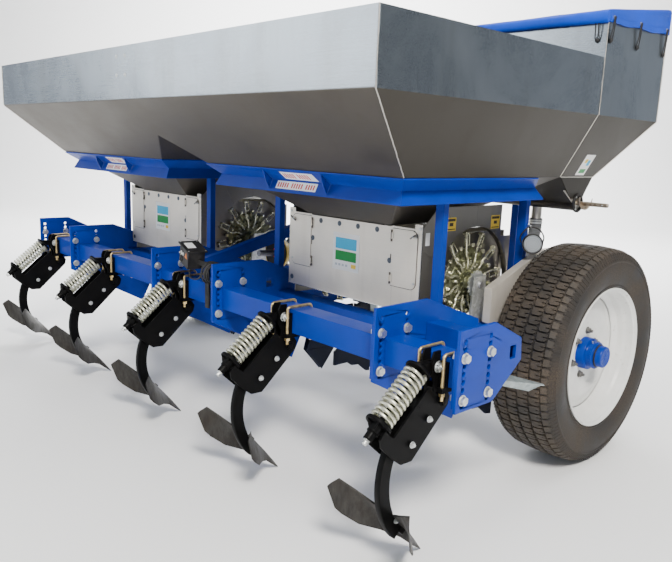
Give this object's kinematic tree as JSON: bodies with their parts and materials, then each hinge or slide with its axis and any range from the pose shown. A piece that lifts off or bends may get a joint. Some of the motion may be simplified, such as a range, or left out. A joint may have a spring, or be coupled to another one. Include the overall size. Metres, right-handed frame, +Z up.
{
  "type": "potato planter",
  "caption": "Tractor-mounted pick-wheel potato planter: wide seed and fertiliser hoppers over picking boxes, two ground wheels, and a rear bar of sprung loosening tines.",
  "frame": {"origin": "centre of the bounding box in X and Y, on the ground", "axes": "+X to the right, along the tool bar; +Y forward, the way it is pulled; +Z up"},
  "size_m": [3.604, 2.2081, 2.064],
  "materials": {
    "black_paint": "satin black paint",
    "sweep_steel": "soil-worn hardened steel",
    "spring_steel": "dull zinc plating",
    "yellow_zinc": "yellow zinc plating",
    "blue_paint": "gloss blue enamel",
    "zinc": "bright zinc plating",
    "stainless": "brushed stainless sheet",
    "pick_zinc": "zinc plating",
    "auger_steel": "bare steel",
    "tarp_fabric": "coated tarpaulin",
    "strap_rubber": "black rubber",
    "tyre_rubber": "dusty black rubber",
    "rim_paint": "light grey enamel",
    "axle_steel": "turned steel",
    "opener_paint": "dark blue enamel",
    "black_plastic": "matt black plastic"
  },
  "bodies": {
    "frame": {"tine_brackets": "black_paint", "tine_u_bolts": "yellow_zinc", "tool_bar": "blue_paint", "frame_plates": "blue_paint", "plate_bolts": "zinc", "main_frame": "blue_paint", "hopper_posts": "blue_paint", "hopper_cradles": "blue_paint", "seed_hopper": "stainless", "seed_funnels": "stainless", "picking_boxes": "stainless", "side_covers": "stainless", "shaft_bearings": "zinc", "fertiliser_hopper": "stainless", "fertiliser_trough": "stainless", "tarp": "tarp_fabric", "tarp_straps": "strap_rubber", "stub_axles": "axle_steel", "chain_guards": "stainless", "furrow_openers": "opener_paint", "hitch_mast": "blue_paint", "control_box": "black_plastic"},
    "tine_1": {"tine_arm_1": "black_paint", "tine_shank_1": "black_paint", "tine_sweep_1": "sweep_steel"},
    "rod_1": {"spring_rod_1": "black_paint", "trip_spring_1": "spring_steel"},
    "tine_2": {"tine_arm_2": "black_paint", "tine_shank_2": "black_paint", "tine_sweep_2": "sweep_steel"},
    "rod_2": {"spring_rod_2": "black_paint", "trip_spring_2": "spring_steel"},
    "tine_3": {"tine_arm_3": "black_paint", "tine_shank_3": "black_paint", "tine_sweep_3": "sweep_steel"},
    "rod_3": {"spring_rod_3": "black_paint", "trip_spring_3": "spring_steel"},
    "tine_4": {"tine_arm_4": "black_paint", "tine_shank_4": "black_paint", "tine_sweep_4": "sweep_steel"},
    "rod_4": {"spring_rod_4": "black_paint", "trip_spring_4": "spring_steel"},
    "tine_5": {"tine_arm_5": "black_paint", "tine_shank_5": "black_paint", "tine_sweep_5": "sweep_steel"},
    "rod_5": {"spring_rod_5": "black_paint", "trip_spring_5": "spring_steel"},
    "wheel_left": {"tyre_left": "tyre_rubber", "rim_left": "rim_paint", "hub_left": "blue_paint"},
    "wheel_right": {"tyre_right": "tyre_rubber", "rim_right": "rim_paint", "hub_right": "blue_paint"},
    "picks_left": {"pick_wheels_left": "pick_zinc"},
    "picks_right": {"pick_wheels_right": "pick_zinc"},
    "auger": {"auger": "auger_steel"},
    "door_1": {"box_door_1": "stainless"},
    "door_2": {"box_door_2": "stainless"},
    "door_3": {"box_door_3": "stainless"},
    "door_4": {"box_door_4": "stainless"}
  },
  "joints": [
    {"name": "tine_trip_1", "type": "hinge", "parent": "frame", "child": "tine_1", "pos_m": [-1.62, -0.78, 0.56], "axis": [-1, 0, 0], "range_deg": [0, 20], "stiffness_Nm_per_rad": 1200, "springref_deg": -28.65},
    {"name": "tine_trip_2", "type": "hinge", "parent": "frame", "child": "tine_2", "pos_m": [-0.81, -0.78, 0.56], "axis": [-1, 0, 0], "range_deg": [0, 20], "stiffness_Nm_per_rad": 1200, "springref_deg": -28.65},
    {"name": "tine_trip_3", "type": "hinge", "parent": "frame", "child": "tine_3", "pos_m": [0, -0.78, 0.56], "axis": [-1, 0, 0], "range_deg": [0, 20], "stiffness_Nm_per_rad": 1200, "springref_deg": -28.65},
    {"name": "tine_trip_4", "type": "hinge", "parent": "frame", "child": "tine_4", "pos_m": [0.81, -0.78, 0.56], "axis": [-1, 0, 0], "range_deg": [0, 20], "stiffness_Nm_per_rad": 1200, "springref_deg": -28.65},
    {"name": "tine_trip_5", "type": "hinge", "parent": "frame", "child": "tine_5", "pos_m": [1.62, -0.78, 0.56], "axis": [-1, 0, 0], "range_deg": [0, 20], "stiffness_Nm_per_rad": 1200, "springref_deg": -28.65},
    {"name": "rod_swing_1", "type": "hinge", "parent": "frame", "child": "rod_1", "pos_m": [-1.62, -0.8, 0.68], "axis": [-1, 0, 0], "range_deg": [0, 17], "deforming": ["trip_spring_1"]},
    {"name": "rod_swing_2", "type": "hinge", "parent": "frame", "child": "rod_2", "pos_m": [-0.81, -0.8, 0.68], "axis": [-1, 0, 0], "range_deg": [0, 17], "deforming": ["trip_spring_2"]},
    {"name": "rod_swing_3", "type": "hinge", "parent": "frame", "child": "rod_3", "pos_m": [0, -0.8, 0.68], "axis": [-1, 0, 0], "range_deg": [0, 17], "deforming": ["trip_spring_3"]},
    {"name": "rod_swing_4", "type": "hinge", "parent": "frame", "child": "rod_4", "pos_m": [0.81, -0.8, 0.68], "axis": [-1, 0, 0], "range_deg": [0, 17], "deforming": ["trip_spring_4"]},
    {"name": "rod_swing_5", "type": "hinge", "parent": "frame", "child": "rod_5", "pos_m": [1.62, -0.8, 0.68], "axis": [-1, 0, 0], "range_deg": [0, 17], "deforming": ["trip_spring_5"]},
    {"name": "wheel_spin_left", "type": "hinge", "parent": "frame", "child": "wheel_left", "pos_m": [-1.52, 0.39, 0.494], "axis": [-1, 0, 0], "continuous": true},
    {"name": "wheel_spin_right", "type": "hinge", "parent": "frame", "child": "wheel_right", "pos_m": [1.52, 0.39, 0.494], "axis": [-1, 0, 0], "continuous": true},
    {"name": "pick_spin_left", "type": "hinge", "parent": "frame", "child": "picks_left", "pos_m": [-0.8175, -0.065, 0.812], "axis": [-1, 0, 0], "continuous": true},
    {"name": "pick_spin_right", "type": "hinge", "parent": "frame", "child": "picks_right", "pos_m": [0.8175, -0.065, 0.812], "axis": [-1, 0, 0], "continuous": true},
    {"name": "auger_spin", "type": "hinge", "parent": "frame", "child": "auger", "pos_m": [0, 0.45, 1.165], "axis": [1, 0, 0], "continuous": true},
    {"name": "door_hinge_1", "type": "hinge", "parent": "frame", "child": "door_1", "pos_m": [-1.07, -0.429, 0.935], "axis": [0, 0, 1], "range_deg": [0, 110]},
    {"name": "door_hinge_2", "type": "hinge", "parent": "frame", "child": "door_2", "pos_m": [-0.565, -0.429, 0.935], "axis": [0, 0, -1], "range_deg": [0, 110]},
    {"name": "door_hinge_3", "type": "hinge", "parent": "frame", "child": "door_3", "pos_m": [0.565, -0.429, 0.935], "axis": [0, 0, 1], "range_deg": [0, 110]},
    {"name": "door_hinge_4", "type": "hinge", "parent": "frame", "child": "door_4", "pos_m": [1.07, -0.429, 0.935], "axis": [0, 0, -1], "range_deg": [0, 110]}
  ],
  "couplings": [
    {"joint": "rod_swing_1", "follows": "tine_trip_1", "ratio": 0.825},
    {"joint": "rod_swing_2", "follows": "tine_trip_2", "ratio": 0.825},
    {"joint": "rod_swing_3", "follows": "tine_trip_3", "ratio": 0.825},
    {"joint": "rod_swing_4", "follows": "tine_trip_4", "ratio": 0.825},
    {"joint": "rod_swing_5", "follows": "tine_trip_5", "ratio": 0.825},
    {"joint": "pick_spin_left", "follows": "wheel_spin_left", "ratio": 1.1667},
    {"joint": "pick_spin_right", "follows": "wheel_spin_right", "ratio": 1.1667}
  ]
}
